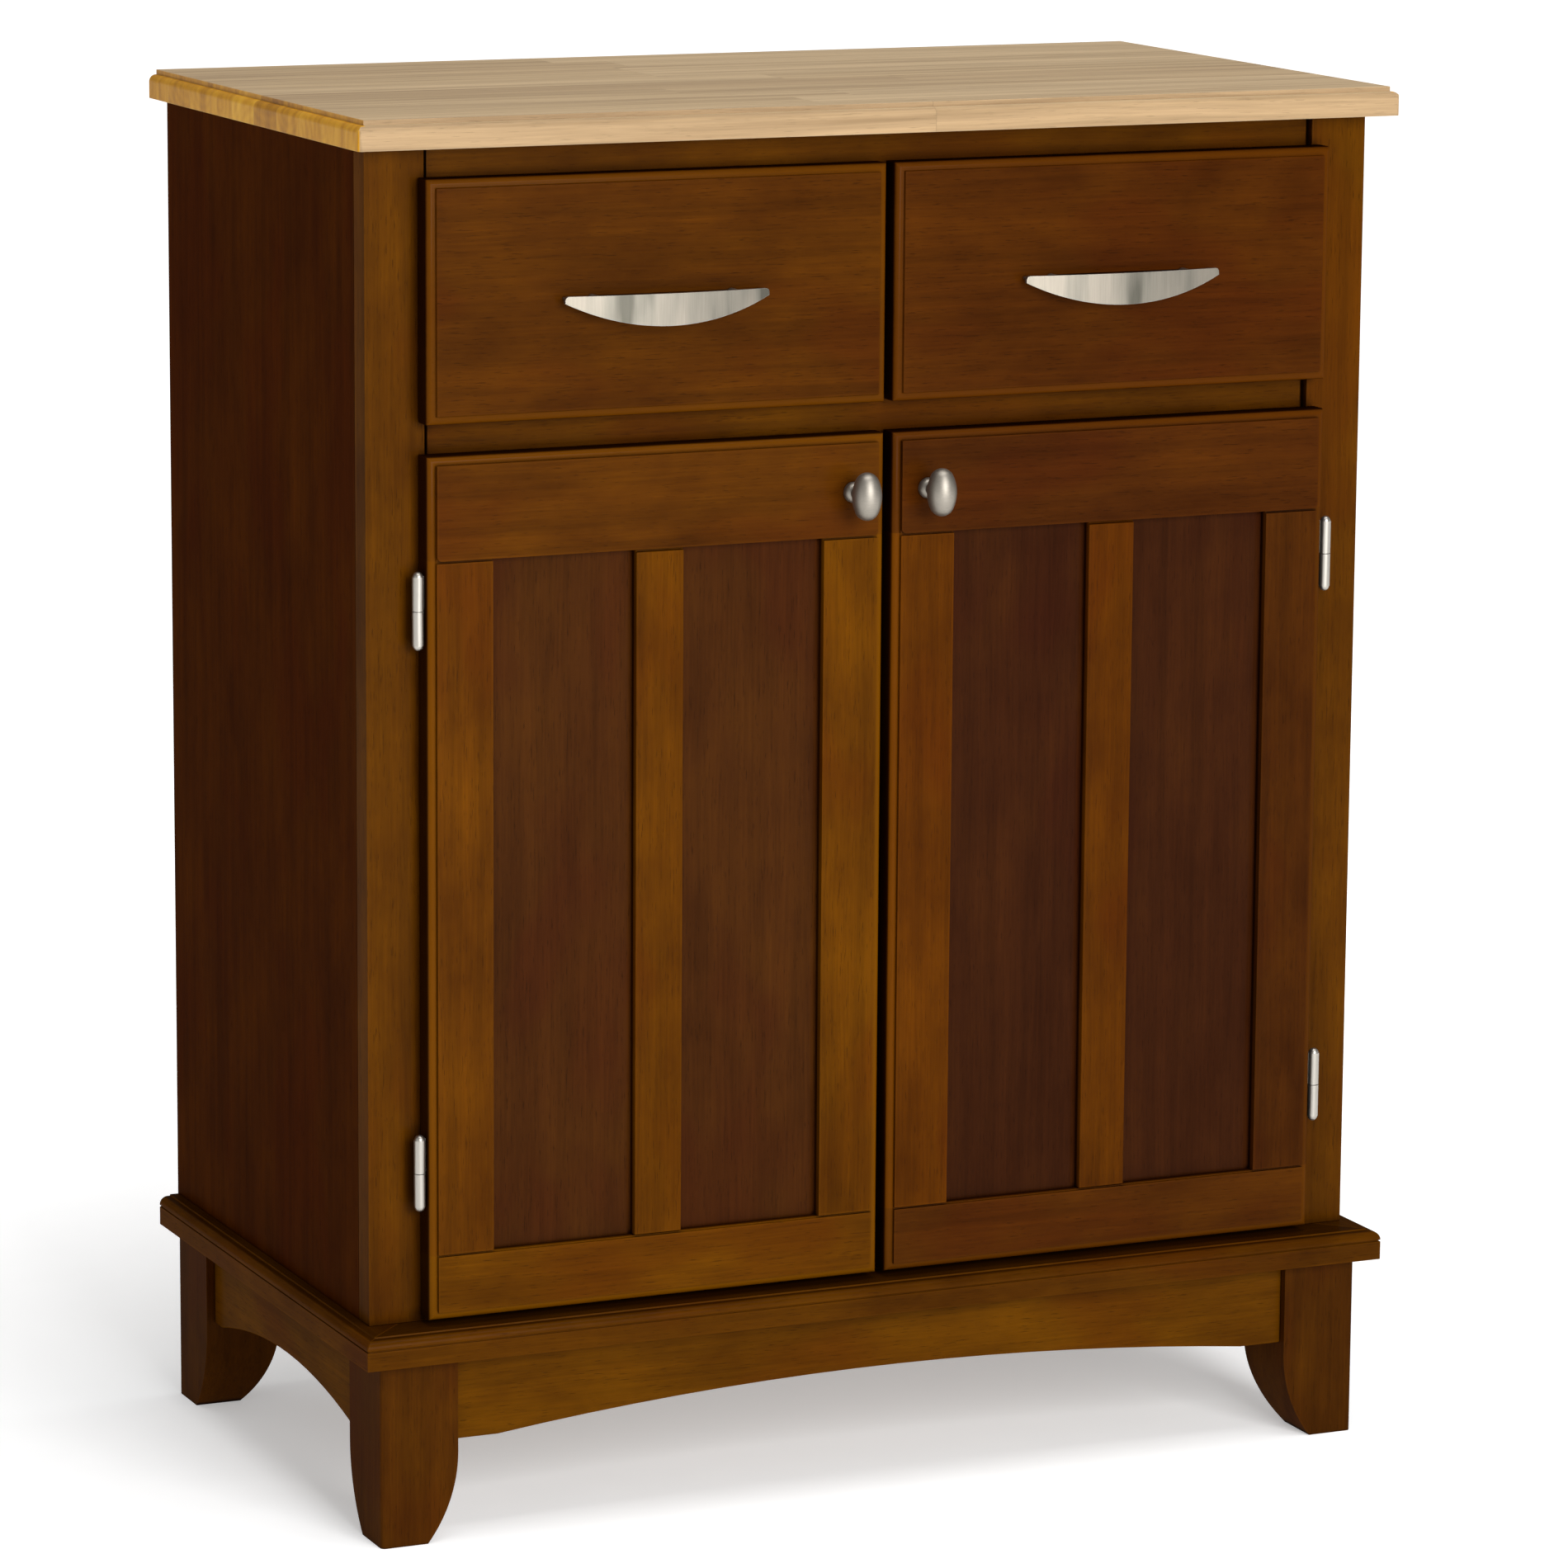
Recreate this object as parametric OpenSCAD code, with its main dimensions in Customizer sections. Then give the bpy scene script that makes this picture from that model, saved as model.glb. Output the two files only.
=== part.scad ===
// Two-door, two-drawer kitchen buffet cabinet with a solid wood-block worktop.
// Millimetres. +X right, -Y front, +Z up. Origin: centre of the footprint, on the floor.

/* [Overall] */
// Height from the floor to the top of the worktop
height = 920; // [900:5:960]
// Width of the worktop
top_w = 734; // [700:2:800]
// Depth of the worktop
top_d = 400; // [380:2:440]
// Thickness of the worktop
top_t = 19; // [17:1:26]

/* [Base] */
// Height of the legs, up to the underside of the base moulding
leg_h = 122.5; // [115:0.5:135]
// Width of a leg across the front
leg_w = 53; // [48:1:60]
// Depth of a leg along the side
leg_d = 58; // [50:1:64]
// Radius of the sweep at the foot of a leg
leg_sweep_r = 96; // [88:1:120]
// Thickness of the base moulding
mould_t = 20.5; // [18:0.5:24]
// Rise of the arch in the front apron
arch_rise = 16; // [8:1:22]

/* [Fronts] */
// Thickness of the door and drawer fronts
front_t = 18.5; // [17:0.5:20]
// Height of the drawer fronts
drawer_front_h = 154.5; // [140:0.5:160]
// Gap between the two fronts at the middle
mid_gap = 6; // [5:0.5:10]
// Width of a door stile
stile_w = 43.4; // [38:0.2:48]
// Height of a door's top rail
door_top_rail_h = 66; // [56:1:76]
// Height of a door's bottom rail
door_bottom_rail_h = 43; // [36:1:56]
// Width of a door's muntin
muntin_w = 32.7; // [26:0.1:40]
// Depth of the recessed panels behind the stiles
panel_recess = 7.5; // [5:0.5:8]

/* [Fittings] */
// Length of a drawer pull
pull_l = 140; // [120:0.5:160]
// Height of a drawer pull at the middle
pull_h = 20.5; // [17:0.5:25]
// Radius of a hinge barrel
barrel_r = 3.7; // [3.5:0.1:4]
// Length of a hinge barrel with its caps
barrel_l = 50.5; // [44:0.5:60]
// Height of the shelf above the cabinet floor
shelf_z = 271; // [120:1:440]

/* [Hidden] */
$fn = 48;

knob_out = 31;                       // knob projection from a front
yb = (top_d + knob_out - 4.5) / 2;   // back plane
ysf = yb - top_d;                    // worktop front
yf = ysf + 24.5;                     // face frame front
yfb = yf + 19;                       // face frame back
yr = yf + 3.5;                       // rails' front, set behind the stiles
yk = yf - 1.5;                       // back of the door and drawer fronts
yd = yk - front_t;                   // front of the door and drawer fronts
ybi = yb - 6;                        // back panel's inner face
cw = top_w / 2 - 12.5;               // carcass half width
sp = 18;                             // side panel thickness
ci = cw - sp;                        // carcass inner half width
sw = 40;                             // face frame stile width
so = cw - sw;                        // opening half width
zc = leg_h + mould_t;                // carcass bottom, top of the base moulding
zt = height - top_t;                 // underside of the worktop
zd1 = zt - 19.5;                     // drawer fronts' top
zd0 = zd1 - drawer_front_h;          // drawer fronts' bottom
zo1 = zd0 - 20;                      // doors' top
zo0 = zc + 4;                        // doors' bottom
zdeck = zd0 + 10;                    // drawer deck's top
fx0 = mid_gap / 2;                   // fronts' inner edge
fx1 = so + 4.8;                      // fronts' outer edge
fxc = (fx0 + fx1) / 2;
// hinges
hx = fx1 + 4.95;
hy = yd + 7.7;
hz = [zo0 + 97.5, zo1 - 98];
pin_r = 1.9;
// drawer box
bx0 = 18;
bx1 = so - 4;
bz0 = zdeck + 0.5;
bz1 = zt - 53;
bd = 340;
bb0 = zdeck + 13;                    // drawer bottom's underside
// legs
lyf = ysf + 3.5;
my = ysf - 8.5;                      // base moulding front
mx = top_w / 2 + 1;                  // base moulding half width
mw = 45;
apr = 6;                             // aprons' setback
apt = 18;
apz = 66.4;                          // aprons' lower edge at the legs
knob_x = fx0 + 23.6;
knob_z = zo1 - 37;
pull_z = zd1 - 75.5;                 // pulls' top edge

stain = [0.40, 0.22, 0.06];
stain_dark = [0.27, 0.14, 0.08];
maple = [0.85, 0.68, 0.45];
ply = [0.80, 0.68, 0.50];
nickel = [0.78, 0.78, 0.76];
steel = [0.62, 0.63, 0.65];

module b(x0, x1, y0, y1, z0, z1) { translate([x0, y0, z0]) cube([x1 - x0, y1 - y0, z1 - z0]); }
module side(s) { if (s > 0) children(); else mirror([1, 0, 0]) children(); }

// section across a front: width w along x, thickness t along y, band level, field level
module front_sec(w, t, band, field) {
  r = 4;
  square([w, band - r]);
  translate([r, 0]) square([w - 2 * r, band]);
  translate([r, band - r]) circle(r = r);
  translate([w - r, band - r]) circle(r = r);
  translate([5.5, 0]) square([w - 11, field]);
}
module blank(x0, x1, z0, z1, band, field) {
  intersection() {
    translate([x0, yk, z0]) linear_extrude(z1 - z0) mirror([0, 1]) front_sec(x1 - x0, front_t, band, field);
    translate([x0, yk, z0]) rotate([90, 0, 90]) linear_extrude(x1 - x0) mirror([1, 0]) mirror([1, -1]) front_sec(z1 - z0, front_t, band, field);
  }
}

// ---- worktop
module slab_sec(w, both) {
  h = top_t; r = 4.8; s = 3.2; e = 5.2; f = both ? 1 : 0;
  square([w, h - s - r]);
  translate([r, 0]) square([w - r - f * r, h - s]);
  translate([r, h - s - r]) circle(r = r);
  if (both) translate([w - r, h - s - r]) circle(r = r);
  translate([e, 0]) square([w - e - f * e, h]);
}
screw_x = [-270, -90, 90, 270];
screw_y = [yfb + 25, ybi - 25];
module top_slab() color(maple) difference() {
  intersection() {
    translate([top_w / 2, yb, zt]) rotate([90, 0, 0]) mirror([1, 0, 0]) linear_extrude(top_d) slab_sec(top_w, true);
    translate([-top_w / 2, ysf, zt]) rotate([90, 0, 90]) linear_extrude(top_w) slab_sec(top_d, false);
    translate([0, 0, zt]) linear_extrude(top_t) union() {
      translate([-top_w / 2, ysf + 3]) square([top_w, top_d - 3]);
      translate([-top_w / 2 + 3, ysf]) square([top_w - 6, top_d]);
      for (s = [-1, 1]) translate([s * (top_w / 2 - 3), ysf + 3]) circle(r = 3);
    }
  }
  for (x = screw_x, y = screw_y) translate([x, y, zt - 1]) cylinder(r = 2.25, h = 13.5);
}
module top_cleats() color(ply) difference() {
  union() {
    b(-ci, ci, yfb, yfb + 50, zt - 18, zt);
    b(-ci, ci, ybi - 50, ybi, zt - 18, zt);
  }
  for (x = screw_x, y = screw_y) translate([x, y, zt - 19]) cylinder(r = 2.3, h = 20);
}
module top_screws() color(steel)
  for (x = screw_x, y = screw_y) translate([x, y, zt]) {
    translate([0, 0, -18]) cylinder(r = 2.2, h = 30);
    difference() {
      translate([0, 0, -20.6]) cylinder(r = 4.5, h = 2.6);
      translate([-0.5, -3, -20.7]) cube([1, 6, 1.1]);
      translate([-3, -0.5, -20.7]) cube([6, 1, 1.1]);
    }
  }

// ---- carcass
pins = [for (s = [-1, 1], y = [yfb + 50, ybi - 50]) [s, y]];
pin_z = zc + shelf_z + 15.45;
module side_panel(s) color(stain) difference() {
  side(s) b(ci, cw, yfb, yb, zc, zt);
  side(s) b(ci - 1, ci + 10, ybi, yb + 1, zc - 1, zt + 1);
  for (p = pins) if (p[0] == s) translate([s * (ci - 1), p[1], pin_z]) rotate([0, s * 90, 0]) cylinder(r = 2.55, h = 10);
}
module back_panel() color(ply) b(-ci - 10, ci + 10, ybi, yb, zc, zt);
module bottom_panel() color(ply) b(-ci, ci, yfb, ybi, zc, zc + 18);
module dust_panel() color(ply) b(-ci, ci, yfb, ybi, zdeck - 12, zdeck);
module divider_panel() color(ply) b(-9, 9, yfb, ybi, zdeck, zt - 18);
module shelf() color(ply) b(-ci + 1, ci - 1, yfb + 6, ybi - 4, zc + 18 + shelf_z, zc + 34 + shelf_z);
module shelf_pins() color(steel)
  for (p = pins) translate([p[0] * (ci - 8), p[1], pin_z]) rotate([0, p[0] * 90, 0]) cylinder(r = 2.5, h = 16);
module face_stile(s) color(stain) difference() {
  side(s) b(so, cw, yf, yfb, zc, zt);
  for (z = hz) side(s) b(hx - 2.65, hx - 1.05, yf - 1, yf + 14.5, z - 22.1, z - 0.2);
}
module joint_cuts(z0, z1) for (s = [-1, 1]) side(s) b(so - 2.8, so + 1, yr - 1, yr + 4, z0 - 1, z1 + 1);
module rail_top() color(stain) difference() {
  b(-so, so, yr, yfb, zd1 - 18.5, zt);
  joint_cuts(zd1 - 18.5, zt);
}
module rail_middle() color(stain) difference() {
  b(-so, so, yr, yfb, zo1 - 10, zdeck);
  joint_cuts(zo1 - 10, zdeck);
}
module rail_bottom() color(stain) b(-so, so, yr, yfb, zc, zc + 22);
module divider_stile() color(stain) b(-14, 14, yr, yfb, zdeck, zd1 - 18.5);
module drawer_runners() color(ply) for (s = [-1, 1]) side(s) b((bx0 + bx1) / 2 - 7, (bx0 + bx1) / 2 + 7, yfb, ybi, zdeck, zdeck + 8);
module catches() color(steel) for (s = [-1, 1]) side(s) difference() {
  b(34, 66, yf, yf + 34, zo1 - 22, zo1 - 10);
  b(40, 60, yf - 1, yf + 2, zo1 - 20, zo1 - 12);
}

// ---- base
module mould_sec() difference() {
  union() {
    square([mw, mould_t - 6.5]);
    square([mw - 5.5, mould_t - 1]);
    translate([mw - 5.5, mould_t - 6.5]) circle(r = 5.5);
    square([mw - 7.5, mould_t]);
  }
  translate([mw - 0.9, mould_t - 8]) square([2, 1]);
}
module moulding_front() color(stain) intersection() {
  translate([-mx, my + mw, leg_h]) rotate([90, 0, 90]) linear_extrude(2 * mx) mirror([1, 0]) mould_sec();
  translate([0, 0, leg_h]) linear_extrude(mould_t) polygon([[-mx, my], [mx, my], [mx - mw, my + mw], [-mx + mw, my + mw]]);
}
module mouldings_side() color(stain) for (s = [-1, 1]) side(s) intersection() {
  translate([mx - mw, yb, leg_h]) rotate([90, 0, 0]) linear_extrude(yb - my) mould_sec();
  translate([0, 0, leg_h]) linear_extrude(mould_t) polygon([[mx, my], [mx, yb], [mx - mw, yb], [mx - mw, my + mw]]);
}
module moulding_back() color(stain) b(-mx + mw, mx - mw, yb - mw, yb, leg_h, zc);

// leg outline seen face on: outer edge at x = 0, inner edge at x = w, swept in at the foot
module leg_sec(w, r) {
  translate([0, 60]) square([w, leg_h - 60]);
  intersection() {
    square([w, 60.01]);
    translate([w - r, 60]) circle(r = r, $fn = 180);
  }
}
module leg(s, f) color(stain) side(s) intersection() {
  y0 = f > 0 ? lyf : yb;
  translate([cw, 0, 0]) rotate([90, 0, 0]) translate([0, 0, -500]) linear_extrude(1000) mirror([1, 0]) leg_sec(leg_w, leg_sweep_r);
  translate([0, y0, 0]) rotate([90, 0, 90]) linear_extrude(500) mirror([f > 0 ? 0 : 1, 0]) leg_sec(leg_d, leg_sweep_r - 6.5);
  linear_extrude(leg_h) union() {
    ya = f > 0 ? lyf : yb - leg_d;
    translate([cw - leg_w, ya]) square([leg_w - 3, leg_d]);
    translate([cw - leg_w, f > 0 ? ya + 3 : ya]) square([leg_w, leg_d - 3]);
    translate([cw - 3, f > 0 ? ya + 3 : yb - 3]) circle(r = 3);
  }
}
// apron outline: half span a, lower edge z0, arch rise h
module apron_sec(a, z0, h, foot) {
  c = a - foot;
  r = (c * c + h * h) / (2 * h);
  difference() {
    translate([-a, z0]) square([2 * a, leg_h - z0]);
    translate([0, z0 + h - r]) circle(r = r, $fn = 720);
  }
}
ax = cw - leg_w;
module apron_front() color(stain) translate([0, lyf + apr + apt, 0]) rotate([90, 0, 0]) linear_extrude(apt) apron_sec(ax, apz, arch_rise, 30);
module apron_back() color(stain) translate([0, yb - apr, 0]) rotate([90, 0, 0]) linear_extrude(apt) apron_sec(ax, apz, arch_rise, 30);
sy0 = lyf + leg_d;
sy1 = yb - leg_d;
module aprons_side() color(stain) for (s = [-1, 1]) side(s)
  translate([cw - apr - apt, (sy0 + sy1) / 2, 0]) rotate([90, 0, 90]) linear_extrude(apt) apron_sec((sy1 - sy0) / 2, apz - 2, arch_rise, 14);
module corner_blocks() color(ply) for (s = [-1, 1], f = [0, 1]) side(s) {
  ya = f > 0 ? lyf + apr + apt : yb - apr - apt;
  yl = f > 0 ? sy0 : sy1;
  d = f > 0 ? 1 : -1;
  xi = cw - apr - apt;
  translate([0, 0, 86]) linear_extrude(leg_h - 86)
    polygon([[ax, ya], [ax, yl], [xi, yl], [xi, yl + d * 40], [ax - 40, ya]]);
}

// ---- hinges, for the right door; the barrel's middle at the origin
module hinge_fixed() {
  l = barrel_l / 2;
  difference() {
    union() {
      translate([0, 0, -l + 3.3]) cylinder(r = barrel_r, h = l - 3.55);
      translate([0, 0, -l + 3.3]) intersection() { sphere(r = 3.3); translate([-5, -5, -5]) cube([10, 10, 5.01]); }
      translate([-2.6, 0, -22]) cube([1.5, yf + 14.3 - hy, 21.75]);
    }
  }
  translate([0, 0, -1]) cylinder(r = pin_r, h = l - 4);
}
module hinge_moving() {
  l = barrel_l / 2;
  difference() {
    union() {
      translate([0, 0, 0.25]) cylinder(r = barrel_r, h = l - 3.55);
      translate([0, 0, l - 3.3]) intersection() { sphere(r = 3.3); translate([-5, -5, -0.01]) cube([10, 10, 5]); }
      translate([fx1 - hx, barrel_r - 1.5, 0.25]) cube([hx - fx1, 1.5, 21.75]);
      translate([fx1 - hx, barrel_r - 1.5, 0.25]) cube([1.5, yk - hy - barrel_r + 1.5, 21.75]);
    }
    translate([0, 0, 0]) cylinder(r = pin_r + 0.05, h = l - 4.5);
    for (z = [6, 16.5]) translate([fx1 - hx - 1, (yk - hy + barrel_r) / 2, z]) rotate([0, 90, 0]) cylinder(r = 1.6, h = 4);
  }
}
module hinge_frame_leaves() color(nickel) for (s = [-1, 1], z = hz) side(s) translate([hx, hy, z]) hinge_fixed();

// ---- drawers, drawn for the right one
module drawer_front() color(stain) difference() {
  blank(fx0, fx1, zd0, zd1, front_t - 2.4, front_t);
  b(bx0 + 6, bx1 - 6, yk - 6, yk + 1, bb0, bb0 + 5);
  for (s = [-1, 1]) translate([fxc + s * pull_cc / 2, yk + 1, pull_z - 3.6]) rotate([90, 0, 0]) cylinder(r = 2.1, h = front_t + 2);
}
module drawer_box() color(ply) {
  for (x = [bx0, bx1 - 12]) difference() {
    b(x, x + 12, yk, yk + bd, bz0, bz1);
    b(bx0 + 6, bx1 - 6, yk - 1, yk + bd + 1, bb0, bb0 + 5);
  }
  b(bx0 + 12, bx1 - 12, yk + bd - 12, yk + bd, bb0 + 5, bz1);
  for (s = [-1, 1]) side(s) translate([s * (bx0 + bx1) / 2, 0, 0]) b(7.5, 17.5, yfb + 4, yk + bd, zdeck + 1, bb0);
}
module drawer_bottom() color(ply) b(bx0 + 6, bx1 - 6, yk - 6, yk + bd, bb0, bb0 + 5);
pull_bow = 6;
pull_cc = 96;                        // screw centres of a pull
// face-on outline of a pull: straight top edge, arc below, ends rounded at the top
module pull_face(a, h) {
  e = 4.4; r = 2.6; d = h - e;
  rc = (a * a + d * d) / (2 * d);
  intersection() {
    union() {
      translate([-a + r, -h]) square([2 * a - 2 * r, h]);
      translate([-a, -h]) square([2 * a, h - r]);
      for (s = [-1, 1]) translate([s * (a - r), -r]) circle(r = r);
    }
    translate([0, rc - h]) circle(r = rc, $fn = 240);
  }
}
module drawer_pull() color(nickel) {
  a = pull_l / 2;
  rb = (a * a + pull_bow * pull_bow) / (2 * pull_bow);
  difference() {
    union() {
      intersection() {
        translate([fxc, yd - 16 + rb, pull_z - pull_h]) linear_extrude(pull_h) intersection() {
          difference() { circle(r = rb, $fn = 240); circle(r = rb - 3, $fn = 240); }
          translate([-a - 3, -rb]) square([2 * a + 6, 30]);
        }
        translate([fxc, yd, pull_z]) rotate([90, 0, 0]) linear_extrude(40) pull_face(a, pull_h);
      }
      for (s = [-1, 1]) translate([fxc + s * pull_cc / 2, yd - 11.5, pull_z - 3.6]) rotate([-90, 0, 0]) cylinder(r = 3.5, h = 11.5);
      for (s = [-1, 1]) translate([fxc + s * (a - 3.4) - 1.3, 0, pull_z]) rotate([90, 0, 90]) linear_extrude(2.6)
        polygon([[yd - 9, -4.2], [yd - 9, -1.4], [yd - 0.2, -1.4], [yd - 0.2, -2.6]]);
    }
    for (s = [-1, 1]) translate([fxc + s * pull_cc / 2, yd - 9, pull_z - 3.6]) rotate([-90, 0, 0]) cylinder(r = 2.1, h = 11);
  }
}
module drawer_pull_screws() color(steel) for (s = [-1, 1]) translate([fxc + s * pull_cc / 2, yk, pull_z - 3.6]) {
  rotate([90, 0, 0]) cylinder(r = 2, h = front_t + 7);
  rotate([-90, 0, 0]) difference() {
    cylinder(r = 4, h = 2.2);
    translate([-0.5, -2.6, 1.2]) cube([1, 5.2, 2]);
    translate([-2.6, -0.5, 1.2]) cube([5.2, 1, 2]);
  }
}

// ---- doors, drawn for the right one
pz0 = zo0 + door_bottom_rail_h;
pz1 = zo1 - door_top_rail_h;
fl = front_t - 1;                    // stile face level
mu0 = fxc - muntin_w / 2;
mu1 = fxc + muntin_w / 2;
ix0 = fx0 + stile_w;
ix1 = fx1 - stile_w;
py0 = yk - (fl - panel_recess);      // panels' front
py1 = py0 + 5;
module panel_slots(d) for (x = [[ix0, mu0], [mu1, ix1]]) b(x[0] - d, x[1] + d, py0, py1, pz0 - d, pz1 + d);
module lines() {
  b(fx0 + 5, fx1 - 5, yd - 2, yk - fl + 1.6, pz0 - 0.8, pz0 + 0.7);
  b(fx0 + 5, fx1 - 5, yd - 2, yk - fl + 1.6, pz1 - 1.7, pz1);
}
module door_top_rail() color(stain) difference() {
  intersection() {
    blank(fx0, fx1, zo0, zo1, front_t - 3.2, front_t);
    union() {
      b(fx0 - 1, fx1 + 1, yk - fl + 1, yk + 1, pz1, zo1 + 1);
      translate([0, yk + 1, 0]) rotate([90, 0, 0]) linear_extrude(front_t + 3) union() {
        translate([fx0 + 8.5, pz1]) square([fx1 - fx0 - 17, 70]);
        translate([fx0 - 1, pz1 + 3]) square([fx1 - fx0 + 2, door_top_rail_h]);
        translate([fx0 + 8.5, pz1 + 3]) circle(r = 3);
        translate([fx1 - 8.5, pz1 + 3]) circle(r = 3);
      }
    }
  }
  panel_slots(8);
  translate([knob_x, yk + 1, knob_z]) rotate([90, 0, 0]) cylinder(r = 2.1, h = front_t + 2);
  translate([knob_x, yk + 1, knob_z]) rotate([90, 0, 0]) cylinder(r = 5, h = 5);
}
module door_bottom_rail() color(stain) difference() {
  intersection() {
    blank(fx0, fx1, zo0, zo1, front_t - 3.2, fl);
    b(fx0 - 1, fx1 + 1, yd - 1, yk + 1, zo0 - 1, pz0);
  }
  panel_slots(8);
  lines();
}
module door_hinge_stile() color(stain) difference() {
  intersection() {
    blank(fx0, fx1, zo0, zo1, front_t - 3.2, fl);
    b(ix1, fx1 + 1, yd - 1, yk + 1, pz0, pz1);
  }
  panel_slots(8);
  lines();
  for (z = hz, k = [6, 16.5]) translate([fx1 - 12, (yk + hy + barrel_r) / 2, z + k]) rotate([0, 90, 0]) cylinder(r = 1.55, h = 14);
}
module door_meeting_stile() color(stain) difference() {
  intersection() {
    blank(fx0, fx1, zo0, zo1, front_t - 3.2, fl);
    b(fx0 - 1, ix0, yd - 1, yk + 1, pz0, pz1);
  }
  panel_slots(8);
  lines();
}
module door_muntin() color(stain) difference() {
  b(mu0, mu1, yk - fl, yk, pz0, pz1);
  panel_slots(8);
  lines();
}
module door_panels() color(stain_dark) panel_slots(7);
module door_hinge_leaves() color(nickel) for (z = hz) translate([hx, hy, z]) hinge_moving();
// upright oval head on a round foot
module door_knob() color(nickel) translate([knob_x, yd, knob_z]) {
  a = 9.7; c = 15.6; rt = 8.0;
  rs = (c * c - 2 * c * rt + a * a) / (2 * (a - rt));
  difference() {
    union() {
      translate([0, -(knob_out - a), 0]) rotate_extrude() intersection() {
        translate([0, -c]) square([a + 1, 2 * c]);
        union() {
          translate([0, c - rt]) circle(r = rt);
          translate([0, -(c - rt)]) circle(r = rt);
          zt0 = (c - rt) * rs / (rs - rt);
          intersection() {
            translate([-(rs - a), 0]) circle(r = rs, $fn = 120);
            translate([0, -zt0]) square([a + 1, 2 * zt0]);
          }
        }
      }
      rotate([90, 0, 0]) rotate_extrude() {
        square([6.8, 1.2]);
        translate([0, 1.2]) intersection() { square([8, 8]); translate([2.3, 0]) circle(r = 4.5); }
        square([2.3, 5.7]);
        square([4.2, 16]);
      }
    }
    rotate([90, 0, 0]) translate([0, 0, -1]) cylinder(r = 2.1, h = 12);
  }
}
module door_fixings() color(steel) {
  translate([knob_x, yk, knob_z]) {
    translate([0, -4, 0]) rotate([90, 0, 0]) cylinder(r = 2, h = front_t + 6);
    translate([0, -4, 0]) rotate([-90, 0, 0]) difference() {
      cylinder(r = 4.4, h = 2.6);
      translate([-0.5, -2.6, 1.4]) cube([1, 5.2, 2]);
      translate([-2.6, -0.5, 1.4]) cube([5.2, 1, 2]);
    }
  }
  b(36, 64, yk, yk + 1, zo1 - 22, zo1 - 10);
  for (z = hz, k = [6, 16.5]) translate([fx1 + 1.5, (yk + hy + barrel_r) / 2, z + k]) {
    rotate([0, -90, 0]) cylinder(r = 1.5, h = 12.5);
    rotate([0, 90, 0]) cylinder(r = 2.7, h = 1);
  }
}

top_slab();
side_panel(-1);  // side_panel_left
side_panel(1);  // side_panel_right
back_panel();
bottom_panel();
dust_panel();
divider_panel();
shelf();
shelf_pins();
face_stile(-1);  // stile_left
face_stile(1);  // stile_right
rail_top();
rail_middle();
rail_bottom();
divider_stile();
top_cleats();
top_screws();
moulding_front();
mouldings_side();
moulding_back();
leg(-1, 1);  // leg_front_left
leg(1, 1);  // leg_front_right
leg(-1, 0);  // leg_back_left
leg(1, 0);  // leg_back_right
apron_front();
aprons_side();
apron_back();
corner_blocks();
drawer_runners();
hinge_frame_leaves();
catches();
side(-1) drawer_front();  // drawer_left_front
side(-1) drawer_box();  // drawer_left_box
side(-1) drawer_bottom();  // drawer_left_bottom
side(-1) drawer_pull();  // drawer_left_pull
side(-1) drawer_pull_screws();  // drawer_left_pull_screws
drawer_front();  // drawer_right_front
drawer_box();  // drawer_right_box
drawer_bottom();  // drawer_right_bottom
drawer_pull();  // drawer_right_pull
drawer_pull_screws();  // drawer_right_pull_screws
side(-1) door_top_rail();  // door_left_top_rail
side(-1) door_bottom_rail();  // door_left_bottom_rail
side(-1) door_hinge_stile();  // door_left_hinge_stile
side(-1) door_meeting_stile();  // door_left_meeting_stile
side(-1) door_muntin();  // door_left_muntin
side(-1) door_panels();  // door_left_panels
side(-1) door_hinge_leaves();  // door_left_hinge_leaves
side(-1) door_knob();  // door_left_knob
side(-1) door_fixings();  // door_left_fixings
door_top_rail();  // door_right_top_rail
door_bottom_rail();  // door_right_bottom_rail
door_hinge_stile();  // door_right_hinge_stile
door_meeting_stile();  // door_right_meeting_stile
door_muntin();  // door_right_muntin
door_panels();  // door_right_panels
door_hinge_leaves();  // door_right_hinge_leaves
door_knob();  // door_right_knob
door_fixings();  // door_right_fixings
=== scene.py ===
import bpy, math
from mathutils import Vector, Matrix


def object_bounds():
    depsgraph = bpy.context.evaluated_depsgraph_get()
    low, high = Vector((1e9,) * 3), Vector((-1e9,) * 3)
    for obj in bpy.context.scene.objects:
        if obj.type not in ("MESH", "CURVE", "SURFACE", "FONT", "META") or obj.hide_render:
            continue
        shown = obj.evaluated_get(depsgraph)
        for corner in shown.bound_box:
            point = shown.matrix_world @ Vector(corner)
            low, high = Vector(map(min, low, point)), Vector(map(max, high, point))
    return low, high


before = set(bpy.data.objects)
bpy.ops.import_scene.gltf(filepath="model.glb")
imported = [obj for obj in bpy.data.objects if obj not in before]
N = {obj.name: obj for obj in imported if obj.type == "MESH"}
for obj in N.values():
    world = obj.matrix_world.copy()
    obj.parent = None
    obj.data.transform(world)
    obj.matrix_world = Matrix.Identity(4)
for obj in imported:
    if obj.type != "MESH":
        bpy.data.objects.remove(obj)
cad_lo, cad_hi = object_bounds()
cad_lo, cad_hi = list(cad_lo), list(cad_hi)
scene = bpy.context.scene
scene.view_settings.view_transform = "Standard"
scene.view_settings.look = "None"


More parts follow.
